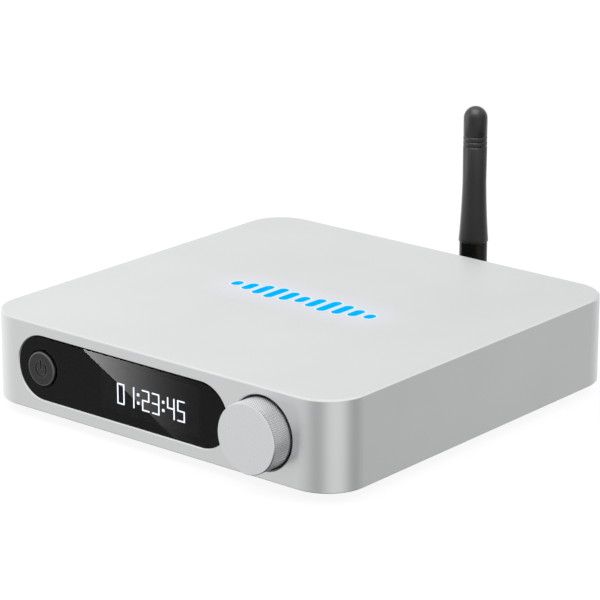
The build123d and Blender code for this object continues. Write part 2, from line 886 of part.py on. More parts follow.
def rear_panel():
    """The connector panel: a flange inside the rear wall and a land in its opening."""
    half = rear_opening_width / 2 + flange_lap
    flange_z = (floor_z, mid_z + rear_opening_height / 2 + flange_lap)
    panel = block((-half, half), (panel_inner_y, rear_inner_y), flange_z)
    land = RectangleRounded(
        rear_opening_width - 2 * seat_clearance,
        rear_opening_height - 2 * seat_clearance,
        rear_opening_radius - seat_clearance,
    )
    panel += prism_y(land, 0, (panel_inner_y, panel_face_y), mid_z)
    y = (panel_inner_y - overrun, panel_face_y + overrun)
    for x in (coaxial_x, line_left_x, line_right_x):
        panel -= rod_y(x, y, mid_z, line_nose_radius + hole_clearance)
    hole = optical_nose + 2 * hole_clearance
    panel -= block(span(optical_x, hole), y, span(mid_z, hole))
    network_z = (board_top_z - hole_clearance, board_top_z + network_height + hole_clearance)
    panel -= block(span(network_x, network_width + 2 * hole_clearance), y, network_z)
    slot = SlotOverall(inlet_width + 2 * hole_clearance, inlet_height + 2 * hole_clearance)
    panel -= prism_y(slot, inlet_x, y, board_top_z + inlet_height / 2)
    panel -= rod_y(0, y, mid_z, jack_thread_radius + hole_clearance)
    for side in (-1, 1):
        panel -= rod_y(side * panel_screw_x, y, panel_screw_z, small_screw_radius + hole_clearance)
    return panel


def rear_screws():
    """Two screws that hold the rear panel to the base plate's tabs."""
    length = panel_face_y - panel_inner_y + base_thickness
    screw = Rot(X=-90) * pan_screw(length)
    return group([Pos(side * panel_screw_x, panel_face_y, panel_screw_z) * screw for side in (-1, 1)])


def line_housing(x):
    """The moulded body of a round jack on the main board, its nose through the panel."""
    y = (panel_inner_y - line_housing_depth, panel_inner_y)
    body = block(span(x, line_housing_width), y, (board_top_z, mid_z + line_housing_rise))
    body += rod_y(x, (panel_inner_y, line_nose_y), mid_z, line_nose_radius)
    bore = (panel_inner_y - insert_tail, line_nose_y + overrun)
    return body - rod_y(x, bore, mid_z, barrel_root_radius + press_clearance)


def line_barrel(x):
    """The metal barrel of a round jack: a thinner root in the housing, a shoulder and the plain end."""
    tip = panel_face_y + barrel_reach
    root = panel_inner_y - insert_tail
    barrel = rod_y(x, (line_nose_y, tip), mid_z, barrel_radius)
    barrel = chamfer(barrel.faces().sort_by(Axis.Y)[-1].edges(), barrel_edge)
    barrel += rod_y(x, (root, line_nose_y), mid_z, barrel_root_radius)
    return barrel - rod_y(x, (root - overrun, tip + overrun), mid_z, barrel_bore)


def line_insert(x):
    """The coloured insulator inside a round jack, with the socket for the plug's pin."""
    tip = panel_face_y + barrel_reach - insert_recess
    body = rod_y(x, (panel_inner_y - insert_tail, tip), mid_z, barrel_bore - press_clearance)
    return body - rod_y(x, (tip - insert_bore_depth, tip + overrun), mid_z, insert_bore)


def flap_pivot():
    """The place in y and z of the optical shutter's trunnions."""
    return nose_tip_y - flap_inset, mid_z + channel_size / 2 + flap_pocket / 2


def optical_housing():
    """The optical jack: a plug channel with a shutter pocket above it and a hole to the emitter."""
    y = (panel_inner_y - optical_depth, panel_inner_y)
    body = block(span(optical_x, optical_width), y, (board_top_z, mid_z + optical_width / 2))
    body += block(span(optical_x, optical_nose), (y[1], nose_tip_y), span(mid_z, optical_nose))
    channel_y = (nose_tip_y - channel_depth, nose_tip_y + overrun)
    body -= block(span(optical_x, channel_size), channel_y, span(mid_z, channel_size))
    pivot_y, pivot_z = flap_pivot()
    reach = pivot_z - mid_z + channel_size / 2
    pocket_y = (pivot_y - reach - flap_end_room, pivot_y + flap_knuckle_room)
    pocket_z = (mid_z, mid_z + channel_size / 2 + flap_pocket)
    body -= block(span(optical_x, channel_size), pocket_y, pocket_z)
    trunnions = channel_size + 2 * (trunnion_reach + flap_side_gap)
    radius = trunnion_radius + running_clearance
    body -= rod_x(span(optical_x, trunnions), pivot_y, pivot_z, radius)
    back = (y[0] - overrun, y[0] + emitter_depth)
    size = emitter_size + 2 * press_clearance
    body -= block(span(optical_x, size), back, span(mid_z, size))
    nose = (y[0], channel_y[0] + overrun)
    return body - rod_y(optical_x, nose, mid_z, emitter_nose_radius + press_clearance)


def optical_shutter():
    """The spring flap that closes the optical jack and swings in and up when a plug goes in."""
    pivot_y, pivot_z = flap_pivot()
    flap_z = (mid_z - channel_size / 2 + flap_side_gap, pivot_z)
    width = channel_size - 2 * flap_side_gap
    flap = block(span(optical_x, width), span(pivot_y, flap_thickness), flap_z)
    return flap + rod_x(span(optical_x, width + 2 * trunnion_reach), pivot_y, pivot_z, trunnion_radius)


def optical_emitter():
    """The light source at the back of the optical jack."""
    y = (panel_inner_y - optical_depth, panel_inner_y - optical_depth + emitter_depth)
    body = block(span(optical_x, emitter_size), y, span(mid_z, emitter_size))
    nose = (y[0], nose_tip_y - channel_depth - press_clearance)
    return body + rod_y(optical_x, nose, mid_z, emitter_nose_radius)


def network_shield():
    """The sheet-metal shield of the network jack, open at its mouth."""
    y = (nose_tip_y - network_depth, nose_tip_y)
    z = (board_top_z, board_top_z + network_height)
    shield = block(span(network_x, network_width), y, z)
    inner_z = (z[0] + network_sheet, z[1] - network_sheet)
    inner_y = (y[0] + network_sheet, y[1] + overrun)
    return shield - block(span(network_x, network_width - 2 * network_sheet), inner_y, inner_z)


def network_insert():
    """The moulded insert of the network jack, with the plug's socket and its latch slot."""
    inset = network_sheet + press_clearance
    y = (nose_tip_y - network_depth + inset, nose_tip_y - network_insert_recess)
    z = (board_top_z + inset, board_top_z + network_height - inset)
    body = block(span(network_x, network_width - 2 * inset), y, z)
    socket_y = (nose_tip_y - network_socket_depth, nose_tip_y + overrun)
    floor = board_top_z + network_socket_rise
    socket_z = (floor, floor + network_socket_height)
    body -= block(span(network_x, network_socket_width), socket_y, socket_z)
    latch_z = (floor - network_latch_height, floor + network_latch_height)
    return body - block(span(network_x, network_latch_width), socket_y, latch_z)


def inlet_shell():
    """The power inlet's metal shell, a flattened tube closed at its back."""
    y = (nose_tip_y - inlet_depth, nose_tip_y)
    z = board_top_z + inlet_height / 2
    shell = prism_y(SlotOverall(inlet_width, inlet_height), inlet_x, y, z)
    inner = SlotOverall(inlet_width - 2 * inlet_sheet, inlet_height - 2 * inlet_sheet)
    return shell - prism_y(inner, inlet_x, (y[0] + inlet_sheet, y[1] + overrun), z)


def inlet_tongue():
    """The power inlet's contact tongue on its moulded back."""
    z = board_top_z + inlet_height / 2
    start = nose_tip_y - inlet_depth + inlet_sheet
    inset = inlet_sheet + press_clearance
    back = SlotOverall(inlet_width - 2 * inset, inlet_height - 2 * inset)
    body = prism_y(back, inlet_x, (start, start + inlet_back), z)
    tongue_y = (start, start + inlet_back + tongue_length)
    return body + block(span(inlet_x, tongue_width), tongue_y, span(z, tongue_thickness))


def antenna_jack():
    """The antenna's threaded jack through the rear panel, with its ferrule inside."""
    flange_y = (panel_inner_y - jack_flange_thickness, panel_inner_y)
    jack = rod_y(0, flange_y, mid_z, jack_flange_radius)
    jack += rod_y(0, (flange_y[0], jack_tip_y), mid_z, jack_thread_radius)
    return jack + rod_y(0, (flange_y[0] - ferrule_length, flange_y[0]), mid_z, ferrule_radius)


def antenna_jack_nut():
    """The nut that holds the antenna's jack in the panel."""
    return hexagon_nut(jack_nut_flats, jack_thread_radius, 0, jack_nut_y)


def antenna_lead():
    """The thin lead from the jack's ferrule to the plug on the wireless module."""
    start = Vector(0, panel_inner_y - jack_flange_thickness - ferrule_length, mid_z)
    top = board_top_z + wireless_height
    plug_x, plug_y = board_place(wireless_place_shares)
    end = Vector(plug_x, plug_y, top + lead_plug_height * lead_entry_share)
    reach = end - start
    shares = zip(lead_along_shares, lead_back_shares, lead_drop_shares)
    points = [start + Vector(reach.X * x, reach.Y * y, reach.Z * z) for x, y, z in shares]
    radii = []
    for before, here, after in zip(points, points[1:], points[2:]):
        turn = (here - before).get_angle(after - here)
        half_turn = Vector(1, 0).rotate(Axis.Z, turn / 2)
        run = min((here - before).length, (after - here).length)
        radii.append(lead_bend_share * run * half_turn.X / half_turn.Y)
    print("lead bend radii", [round(radius, 1) for radius in radii])
    path = FilletPolyline(*points, radius=radii)
    lead = sweep(Plane(origin=start, z_dir=points[1] - start) * Circle(lead_radius), path=path)
    return lead + rod_z(plug_x, plug_y, (top, top + lead_plug_height), lead_plug_radius)


def antenna_coupling():
    """The coupling nut that screws onto the jack and holds the swivel's neck."""
    nut = rod_y(0, coupling_y, mid_z, coupling_radius)
    nut = chamfer([edge for face in nut.faces().filter_by(Axis.Y) for edge in face.edges()], coupling_edge)
    lip = coupling_y[1] - coupling_lip
    nut -= rod_y(0, (coupling_y[0] - overrun, lip), mid_z, jack_thread_radius + thread_clearance)
    return nut - rod_y(0, (lip - overrun, coupling_y[1] + overrun), mid_z, neck_radius + running_clearance)


def antenna_swivel():
    """The swivel: a neck in the coupling, a round base and the hinge's tongue."""
    swivel = rod_y(0, swivel_y, mid_z, hinge_radius)
    swivel += rod_y(0, (coupling_y[1] - coupling_lip, swivel_y[0]), mid_z, neck_radius)
    tongue = span(0, hinge_tongue)
    swivel += block(tongue, (swivel_y[1], whip_y), span(mid_z, 2 * tongue_radius))
    swivel += rod_x(tongue, whip_y, mid_z, tongue_radius)
    bore = span(0, 2 * hinge_tongue)
    return swivel - rod_x(bore, whip_y, mid_z, hinge_pin_radius + running_clearance)


def antenna_hinge_pin():
    """The pin through the barrel's two cheeks and the swivel's tongue."""
    half = hinge_radius - hinge_pin_recess
    return rod_x((-half, half), whip_y, mid_z, hinge_pin_radius)


def antenna_barrel():
    """The glossy foot of the antenna: forked round the tongue, with a spigot up into the boot."""
    half = (-hinge_radius, hinge_radius)
    barrel = rod_z(0, whip_y, (mid_z - hinge_radius, boot_z[0]), hinge_radius)
    upper = block(half, (whip_y - hinge_radius, whip_y + hinge_radius), (mid_z, boot_z[0]))
    barrel &= upper + rod_x(half, whip_y, mid_z, hinge_radius)
    barrel += rod_z(0, whip_y, (boot_z[0] - overrun, boot_z[0] + spigot_length), spigot_radius)
    slot_y = (whip_y - hinge_radius - overrun, whip_y + hinge_radius + overrun)
    slot_z = (mid_z - hinge_radius - overrun, mid_z + tongue_radius + hinge_gap)
    barrel -= block(span(0, hinge_tongue + 2 * hinge_side_gap), slot_y, slot_z)
    barrel -= rod_x(span(0, 4 * hinge_radius), whip_y, mid_z, hinge_pin_radius + press_clearance)
    root_z = (slot_z[1] + hinge_gap, boot_z[0] + spigot_length + overrun)
    return barrel - rod_z(0, whip_y, root_z, radiator_radius + press_clearance)


def antenna_radiator():
    """The metal rod inside the boot that sends and receives."""
    z = (mid_z + tongue_radius + 2 * hinge_gap, boot_z[1] - radiator_tip_gap)
    return rod_z(0, whip_y, z, radiator_radius)


def antenna_boot():
    """The rubbery boot: a flared foot, three fine rings near its top and a domed tip."""
    foot, tip = boot_z
    flare_top = foot + flare_length
    dome = tip - boot_tip_radius
    side = [Line((boot_foot_radius - boot_foot_edge, foot), (boot_foot_radius, foot + boot_foot_edge))]
    side.append(
        ThreePointArc(
            (boot_foot_radius, foot + boot_foot_edge),
            (boot_mid_radius, foot + flare_length / 2),
            (boot_tip_radius, flare_top),
        )
    )
    points = [(boot_tip_radius, flare_top)]
    for index in reversed(range(ring_count)):
        ring = tip - first_ring - index * ring_pitch
        low, high = span(ring, ring_width)
        points += [(boot_tip_radius, low), (boot_tip_radius - ring_depth, ring), (boot_tip_radius, high)]
    points.append((boot_tip_radius, dome))
    side.append(Polyline(*points))
    quarter = boot_tip_radius * 0.5**0.5
    side.append(ThreePointArc((boot_tip_radius, dome), (quarter, dome + quarter), (0, tip)))
    side.append(Polyline((0, tip), (0, foot), (boot_foot_radius - boot_foot_edge, foot)))
    boot = revolve(Pos(0, whip_y, 0) * (Plane.XZ * make_face(side)), Axis((0, whip_y, 0), (0, 0, 1)))
    socket = (foot - overrun, foot + spigot_length + hole_clearance)
    boot -= rod_z(0, whip_y, socket, spigot_radius + press_clearance)
    core = (foot, tip - radiator_tip_gap + hole_clearance)
    return boot - rod_z(0, whip_y, core, radiator_radius + press_clearance)


nodes = {
    "top_shell": top_shell(),
    "base_plate": base_plate(),
    "feet": feet(),
    "base_screws": base_screws(),
    "rear_panel": rear_panel(),
    "rear_screws": rear_screws(),
    "light_guide": light_guide(),
    "light_board": light_board(),
    "light_diodes": light_diodes(),
    "light_screws": light_screws(),
    "light_cable": light_cable(),
    "front_lens": front_lens(),
    "front_carrier": front_carrier(),
    "display_module": display_module(),
    "display_digits": display_digits(),
    "front_board": front_board(),
    "front_screws": front_screws(),
    "power_button": power_button(),
    "switch_housing": switch_housing(),
    "switch_plunger": switch_plunger(),
    "encoder_body": encoder_body(),
    "encoder_nut": encoder_nut(),
    "encoder_pusher": encoder_pusher(),
    "encoder_shaft": encoder_shaft(),
    "control_knob": control_knob(),
    "main_board": main_board(),
    "board_standoffs": board_standoffs(),
    "board_screws": board_screws(),
    "processor": processor(),
    "wireless_module": wireless_module(),
    "converter_chip": converter_chip(),
    "capacitors": capacitors(),
    "ribbon_cable": ribbon_cable(),
    "ribbon_sockets": ribbon_sockets(),
    "optical_housing": optical_housing(),
    "optical_shutter": optical_shutter(),
    "optical_emitter": optical_emitter(),
    "network_shield": network_shield(),
    "network_insert": network_insert(),
    "inlet_shell": inlet_shell(),
    "inlet_tongue": inlet_tongue(),
    "antenna_jack": antenna_jack(),
    "antenna_jack_nut": antenna_jack_nut(),
    "antenna_lead": antenna_lead(),
    "antenna_coupling": antenna_coupling(),
    "antenna_swivel": antenna_swivel(),
    "antenna_hinge_pin": antenna_hinge_pin(),
    "antenna_barrel": antenna_barrel(),
    "antenna_radiator": antenna_radiator(),
    "antenna_boot": antenna_boot(),
}
for jack, place in (("coaxial", coaxial_x), ("line_left", line_left_x), ("line_right", line_right_x)):
    nodes[jack + "_housing"] = line_housing(place)
    nodes[jack + "_barrel"] = line_barrel(place)
    nodes[jack + "_insert"] = line_insert(place)

os.makedirs("parts", exist_ok=True)
for name, shape in nodes.items():
    export_step(Pos(0, -origin_y, 0) * shape, f"parts/{name}.step")
print(len(nodes), "nodes, origin shift", round(origin_y, 3))
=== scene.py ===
# %% [markdown]
# # A small network music streamer, dressed for a studio picture
#
# The object is a square aluminium box, 120 mm wide, with a smoked window in its front, a knurled
# metal knob, a row of blue lit bars in its top and a short rod antenna behind it. The construction
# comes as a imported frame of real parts. This lesson gives every part its finish, remodels the ones
# that need finer shapes than a construction model has, and sets up the studio round it.

# %% Load the frame
import math

import bmesh
import bpy
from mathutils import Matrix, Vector
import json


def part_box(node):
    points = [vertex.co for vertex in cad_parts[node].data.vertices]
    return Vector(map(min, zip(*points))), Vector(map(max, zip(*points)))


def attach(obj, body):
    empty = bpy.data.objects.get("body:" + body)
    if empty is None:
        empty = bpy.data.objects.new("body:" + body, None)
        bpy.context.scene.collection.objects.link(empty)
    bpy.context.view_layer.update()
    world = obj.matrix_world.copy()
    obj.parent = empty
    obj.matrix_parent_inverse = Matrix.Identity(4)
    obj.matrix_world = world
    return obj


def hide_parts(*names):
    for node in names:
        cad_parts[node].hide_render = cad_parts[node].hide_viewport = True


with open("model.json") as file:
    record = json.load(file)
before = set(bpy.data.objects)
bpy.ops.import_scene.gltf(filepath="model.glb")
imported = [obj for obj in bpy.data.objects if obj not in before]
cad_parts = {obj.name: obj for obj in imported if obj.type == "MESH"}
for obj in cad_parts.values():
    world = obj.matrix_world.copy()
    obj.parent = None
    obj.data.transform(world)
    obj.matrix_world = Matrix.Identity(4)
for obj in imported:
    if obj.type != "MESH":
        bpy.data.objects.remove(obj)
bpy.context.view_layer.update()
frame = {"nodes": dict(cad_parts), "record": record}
nodes = frame["nodes"]
MM = 0.001

# %% [markdown]
# ## Camera
#
# The picture was taken with a long lens from the front right, a little above the top. The camera
# stands where the edges of the case converge as they do there. Lamps are aimed in the same way
# later, so one helper puts a camera or a lamp in its place and turns it.

# %% Camera
camera_place = Vector((0.47139, -0.5726225, 0.26151))
camera_target = Vector((-0.000839, -0.0073425, 0.026687))
camera_lens = 173.66
camera_film = 36.0


def aim(thing, place, target):
    """Puts a new camera or lamp into the scene, looking from a place towards a target."""
    thing.location = place
    thing.rotation_mode = "QUATERNION"
    thing.rotation_quaternion = (target - thing.location).to_track_quat("-Z", "Y")
    bpy.context.scene.collection.objects.link(thing)


camera_data = bpy.data.cameras.new("camera")
camera_data.lens = camera_lens
camera_data.sensor_width = camera_film
camera = bpy.data.objects.new("camera", camera_data)
aim(camera, camera_place, camera_target)
bpy.context.scene.camera = camera
bpy.context.scene.view_settings.view_transform = "Standard"
print("camera", round((camera_target - camera_place).length, 3), "m from the object")

# %% [markdown]
# ## Shader maths
#
# A finish is drawn with nodes. So that it reads as a formula, one class wraps an output socket: a
# sum or a product of such signals adds the Math node that works it out, and one method adds any
# other node.


# %% Signals
class Signal:
    """An output socket of a node tree, which arithmetic can be done with."""

    def __init__(self, tree, socket=None):
        self.tree = tree
        self.socket = socket

    def node(self, kind, settings=None, sockets=None, output=0):
        """Adds a node: first its settings, then the values or links of its sockets."""
        made = self.tree.nodes.new("ShaderNode" + kind)
        for name, value in (settings or {}).items():
            if name == "stops":
                stops = made.color_ramp.elements
                while len(stops) < len(value):
                    stops.new(1.0)
                for stop, (place, level) in zip(stops, value):
                    stop.position = place
                    stop.color = (level, level, level, 1.0)
            else:
                setattr(made, name, value)
        for name, value in (sockets or {}).items():
            if isinstance(value, Signal):
                self.tree.links.new(value.socket, made.inputs[name])
            else:
                made.inputs[name].default_value = value
        return Signal(self.tree, made.outputs[output] if made.outputs else None)

    def other(self, name):
        """Another output of the same node."""
        return Signal(self.tree, self.socket.node.outputs[name])

    def math(self, operation, *values):
        """A Math node on the given values or signals."""
        return self.node("Math", {"operation": operation}, dict(enumerate(values)))

    def __add__(self, other):
        return self.math("ADD", self, other)

    def __sub__(self, other):
        return self.math("SUBTRACT", self, other)

    def __rsub__(self, other):
        return self.math("SUBTRACT", other, self)

    def __mul__(self, other):
        return self.math("MULTIPLY", self, other)

    def __truediv__(self, other):
        return self.math("DIVIDE", self, other)

    __radd__ = __add__
    __rmul__ = __mul__

    def absolute(self):
        """This signal without its sign."""
        return self.math("ABSOLUTE", self)

    def at_least(self, other):
        """The larger of this signal and another value."""
        return self.math("MAXIMUM", self, other)

    def at_most(self, other):
        """The smaller of this signal and another value."""
        return self.math("MINIMUM", self, other)

    def between(self, low, high):
        """0 below the low value, 1 above the high one, and smooth between them."""
        limits = {"Value": self, "From Min": low, "From Max": high}
        return self.node("MapRange", {"interpolation_type": "SMOOTHSTEP"}, limits)

    def blend(self, first, second):
        """The first colour where this signal is 0 and the second where it is 1."""
        # A Mix node keeps its two colours in sockets 6 and 7, and gives their mix as output 2.
        sockets = {"Factor": self, 6: colour(first), 7: colour(second)}
        return self.node("Mix", {"data_type": "RGBA"}, sockets, output=2)


def colour(value):
    """A colour with its alpha, or the signal that it already is."""
    return value if isinstance(value, Signal) else (*value, 1.0)


def empty_material(name):
    """A material without nodes, and a signal to draw them with."""
    material = bpy.data.materials.new(name)
    material.use_nodes = True
    material.node_tree.nodes.clear()
    return material, Signal(material.node_tree)


print("signals are ready")

# %% [markdown]
# ## Studio light
#
# Metal shows what stands round it, so the studio is drawn as a band of lighter and darker walls:
# the front of the case faces a pale wall, its right side a greyer one, and the round corner between
# them sweeps over both with a dark gap on each side. A wall is given by its direction, in degrees
# round the object, and how bright it is. Above the walls is a white ceiling and below them a dark
# ground, and their edges are heights on a sphere of radius 1. Matt pieces see a plain soft sky
# instead, and what the camera sees directly, or through clear parts, is plain white.

# %% Walls of the studio
wall_levels = [
    (-180, 0.66),
    (-150, 0.56),
    (-135, 0.71),
    (-122, 0.92),
    (-95, 0.82),
    (-60, 0.66),
    (-35, 0.62),
    (-12, 0.54),
    (6, 0.37),
    (22, 0.38),
    (44, 0.71),
    (78, 0.70),
    (100, 0.34),
    (120, 0.31),
    (134, 0.44),
    (158, 0.48),
    (180, 0.66),
]
wall_strength = 1.265
ceiling_edge = (0.32, 0.62)
ceiling_level = 1.02
ground_edge = (-0.68, -0.38)
ground_level = 0.12
sky_level = 0.80
sky_rise = 0.16
print(len(wall_levels), "wall levels round the studio")

# %% World
world = bpy.data.worlds.new("studio")
bpy.context.scene.world = world
world.use_nodes = True
world.node_tree.nodes.clear()
world.cycles.sampling_method = "NONE"
studio = Signal(world.node_tree)
direction = studio.node("TexCoord")
sideways = direction.node("SeparateXYZ", sockets={0: direction})
height = sideways.other("Z")
turn = sideways.math("ARCTAN2", sideways, sideways.other("Y") * -1.0) / (2 * math.pi) + 0.5
stops = [(0.5 + degrees / 360, level) for degrees, level in wall_levels]
walls = turn.node("ValToRGB", {"stops": stops}, {"Fac": turn}) * wall_strength
ceiling = height.between(*ceiling_edge)
walls = walls * (1.0 - ceiling) + ceiling * ceiling_level
off_ground = height.between(*ground_edge)
walls = walls * (off_ground * (1.0 - ground_level) + ground_level)
sky = sky_level + height * sky_rise
is_camera = studio.node("LightPath")
is_glossy = is_camera.other("Is Glossy Ray")
is_direct = is_camera.at_least(is_camera.other("Is Transmission Ray"))
level = is_glossy * walls + (1.0 - is_glossy) * sky
level = is_direct + (1.0 - is_direct) * level
background = studio.node("Background", sockets={"Color": level})
studio.node("OutputWorld", sockets={"Surface": background})
print("world with", len(world.node_tree.nodes), "nodes")

# %% [markdown]
# ## Lamps and floor
#
# Two large lamps give the matt pieces their light and the floor its soft shadow. They don't show in
# the metal, which already has the studio's walls to reflect. The floor is white paper: to the
# camera it is mostly a plain glow, and the rest is matt white that keeps the shadow.


# %% Lamps
def area_lamp(name, place, target, width, height, power):
    """A rectangular lamp of the given metres and watts, aimed at a target."""
    data = bpy.data.lights.new(name, "AREA")
    data.shape = "RECTANGLE"
    data.size = width
    data.size_y = height
    data.energy = power
    lamp = bpy.data.objects.new(name, data)
    aim(lamp, place, target)
    return lamp


lamp_size = 0.5
lamp_target = Vector((0, 0, 0.02))
lamps = {"key": ((-0.45, -0.35, 0.75), 2.4), "fill": ((0.60, -0.10, 0.55), 1.0)}
for name, (place, power) in lamps.items():
    area_lamp(name, place, lamp_target, lamp_size, lamp_size, power).visible_glossy = False
print(sorted(lamps), "lamps")

# %% Floor
floor_width = 5.0
floor_white = (0.86, 0.86, 0.86)
glow_strength = 1.05
glow_share = 0.86

bpy.ops.object.select_all(action="DESELECT")
bpy.ops.mesh.primitive_plane_add(size=floor_width)
floor = bpy.context.object
floor.name = "floor"
floor.visible_glossy = False
paper, sheet = empty_material("paper")
is_seen = sheet.node("LightPath")
matt = sheet.node("BsdfDiffuse", sockets={"Color": colour(floor_white)})
lit = sheet.node("Emission", sockets={"Color": colour((1.0, 1.0, 1.0)), "Strength": glow_strength})
shown = sheet.node("MixShader", sockets={0: is_seen * glow_share, 1: matt, 2: lit})
sheet.node("OutputMaterial", sockets={"Surface": shown})
floor.data.materials.append(paper)
print("floor", floor_width, "m wide")

# %% [markdown]
# ## Finishes
#
# Each finish starts from the Principled shader. What is the same all over is set on its sockets,
# and what varies, such as the fine grain of blasted metal, is drawn from noise on the object's own
# coordinates, so that it stays at its real size.

# %% Finish helpers
finishes = {}


def new_finish(name):
    """A new finish under its name, given as a signal to draw its nodes with."""
    finishes[name], start = empty_material(name)
    return start


def close_finish(start, **sockets):
    """Ends a material with the Principled shader; a socket's words are joined with underscores."""
    named = {name.replace("_", " "): value for name, value in sockets.items()}
    surface = start.node("BsdfPrincipled", sockets=named)
    start.node("OutputMaterial", sockets={"Surface": surface})


def noise(start, size, detail=2.0, roughness=0.5):
    """Noise on the Object coordinates, whose grains are about the given size in metres."""
    place = start.node("TexCoord", output=3)
    sockets = {"Vector": place, "Scale": 1 / size, "Detail": detail, "Roughness": roughness}
    return start.node("TexNoise", sockets=sockets)


def places(start):
    """The three Object coordinates, in metres."""
    axes = start.node("SeparateXYZ", sockets={0: start.node("TexCoord", output=3)})
    return axes, axes.other("Y"), axes.other("Z")


def length_of(first, second):
    """The length of the slanted side over two sides at a right angle."""
    squares = first * first + second * second
    return squares.math("SQRT", squares)


def relief(height, distance):
    """The normal of a surface whose height varies by up to a distance in metres."""
    sockets = {"Height": height, "Distance": distance, "Strength": 1.0}
    return height.node("Bump", sockets=sockets)


print("finish helpers are ready")

# %% [markdown]
# ## The case and its lit bars
#
# The bars in the top are clear plastic lit from below. Round them the metal has painted light, as
# if some of their blue light spilled onto it: a thin pale rim along each bar, and a wide faint halo.
# Both are drawn from the distance to the bars, and added as a little emission of the top face. The
# metal itself is blasted with fine grit and anodised. It is satin, so it shows the walls of the
# studio only as broad shades, with an even grain of the grit's size and slight clouds.

# %% Light round the bars
guide_low, guide_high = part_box("light_guide")
guide_centre = (guide_low + guide_high) / 2
bar_pitch = 4.6 * MM
bar_radius = 1.4 * MM
bar_reach = 9.2 * MM
bar_shares = (0.4, 0.62, 0.86, 1.0, 0.8, 0.56, 0.8, 1.0, 0.86, 0.62, 0.4)
rim_fade = (0.2 * MM, 0.7 * MM)
rim_light = (0.17, 0.23, 0.28)
halo_row = 20 * MM
halo_fade = (2 * MM, 13 * MM)
halo_light = (0.034, 0.036, 0.085)
no_light = (0.0, 0.0, 0.0)
top_start = guide_high.z - 0.4 * MM
top_fade = 0.2 * MM


def bar_glow(start):
    """Painted light spilled from the lit bars, as emission of the metal: a thin pale rim round each
    and a wide faint halo.
    """
    count = len(bar_shares)
    x, y, z = places(start)
    across = x - guide_centre.x
    along = (y - guide_centre.y).absolute()
    column = across / bar_pitch + count / 2
    bar = column.math("FLOOR", column).at_least(0.0).at_most(count - 1.0)
    stops = [((index + 0.5) / count, share) for index, share in enumerate(bar_shares)]
    share = bar.node("ValToRGB", {"stops": stops}, {"Fac": (bar + 0.5) / count})
    past_end = (along - (share * (bar_reach / 2) - bar_radius)).at_least(0.0)
    off_bar = length_of((column - bar - 0.5) * bar_pitch, past_end)
    rim = 1.0 - off_bar.between(bar_radius + rim_fade[0], bar_radius + rim_fade[1])
    past_row = (across.absolute() - halo_row).at_least(0.0)
    halo = 1.0 - length_of(past_row, along).between(*halo_fade)
    on_top = z.between(top_start, top_start + top_fade)
    spill = (halo * on_top).blend(no_light, halo_light)
    return (rim * on_top).blend(spill, rim_light)


print(len(bar_shares), "bars spill their light")

# %% Case metal
case_level = 0.83
case_tint = (0.985, 1.0, 1.005)
case_dark = 0.965
case_rough = 0.35
case_grain = 0.22 * MM
case_relief = 0.004 * MM
case_cloud = 30 * MM


def case_metal():
    """Blasted and anodised aluminium: satin, with an even fine grain and slight clouds."""
    start = new_finish("shell_aluminium")
    grain = noise(start, case_grain, 3.0)
    clouds = noise(start, case_cloud, 2.0)
    light = [case_level * part for part in case_tint]
    dark = [case_dark * part for part in light]
    close_finish(
        start,
        Base_Color=(grain * 0.5 + clouds * 0.5).between(0.35, 0.65).blend(dark, light),
        Metallic=1.0,
        Roughness=case_rough - 0.03 + 0.06 * grain,
        Normal=relief(grain, case_relief),
        # Painted light: the spill of the lit bars, as emission of the top face.
        Emission_Color=bar_glow(start),
        Emission_Strength=1.0,
    )


case_metal()
print("case metal of level", case_level)

# %% [markdown]
# ## The power button
#
# The button is a dark disc that was turned on a lathe, so its face has very fine rings. Its rim and
# the edges of the engraved sign have a painted highlight in their colour, where their small bevels
# would catch the light. The sign's grooves are real in the construction model, and only their
# painted highlights are drawn, from the distance to a ring with a notch at its top and to the short
# line in that notch.

# %% Button metal
button_low, button_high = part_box("power_button")
button_centre = (button_low + button_high) / 2
button_radius = 4.7 * MM
button_rim = (0.55 * MM, 0.35 * MM)
button_grain = 0.3 * MM
button_rings = 0.30 * MM
button_relief = 0.002 * MM
button_dark = (0.050, 0.050, 0.051)
button_pale = (0.072, 0.072, 0.074)
# The colour of the painted highlight on the rim and the sign's edges.
button_painted_highlight = (0.17, 0.17, 0.173)
sign_radius = 1.85 * MM
sign_half_line = 0.25 * MM
sign_reach = 2.5 * MM
sign_notch = (0.8 * MM, 0.9 * MM)
sign_notch_foot = 0.1 * MM
sign_highlight_start = 0.03 * MM
sign_highlight_end = (0.10 * MM, 0.18 * MM)
sign_highlight_share = 0.7


def button_metal():
    """The dark button: a turned face with fine rings, and a painted highlight on its rim and sign
    edges.
    """
    start = new_finish("button_aluminium")
    grain = noise(start, button_grain, 3.0)
    x, y, z = places(start)
    across = x - button_centre.x
    up = z - button_centre.z
    aside = across.absolute()
    radius = length_of(across, up)
    # Painted highlight: a band inside the rim and the sign's edges are made lighter in colour.
    rim = radius.between(button_radius - button_rim[0], button_radius - button_rim[1])
    in_notch = (1.0 - aside.between(*sign_notch)) * up.between(0.0, sign_notch_foot)
    off_ring = (radius - sign_radius).absolute() - sign_half_line + in_notch * MM
    off_ends = (up - sign_reach / 2).absolute() - sign_reach / 2
    off_sign = off_ring.at_most((aside - sign_half_line).at_least(off_ends))
    edge = off_sign.between(0.0, sign_highlight_start) * (1.0 - off_sign.between(*sign_highlight_end))
    phase = radius * (2 * math.pi / button_rings)
    rings = phase.math("SINE", phase)
    face = (grain * 0.6 + rings * 0.2 + 0.2).blend(button_dark, button_pale)
    close_finish(
        start,
        Base_Color=rim.at_least(edge * sign_highlight_share).blend(face, button_painted_highlight),
        Metallic=1.0,
        Roughness=0.34 + 0.08 * grain,
        Normal=relief(rings, button_relief),
    )


button_metal()
print("button metal with rings", round(button_rings / MM, 2), "mm apart")
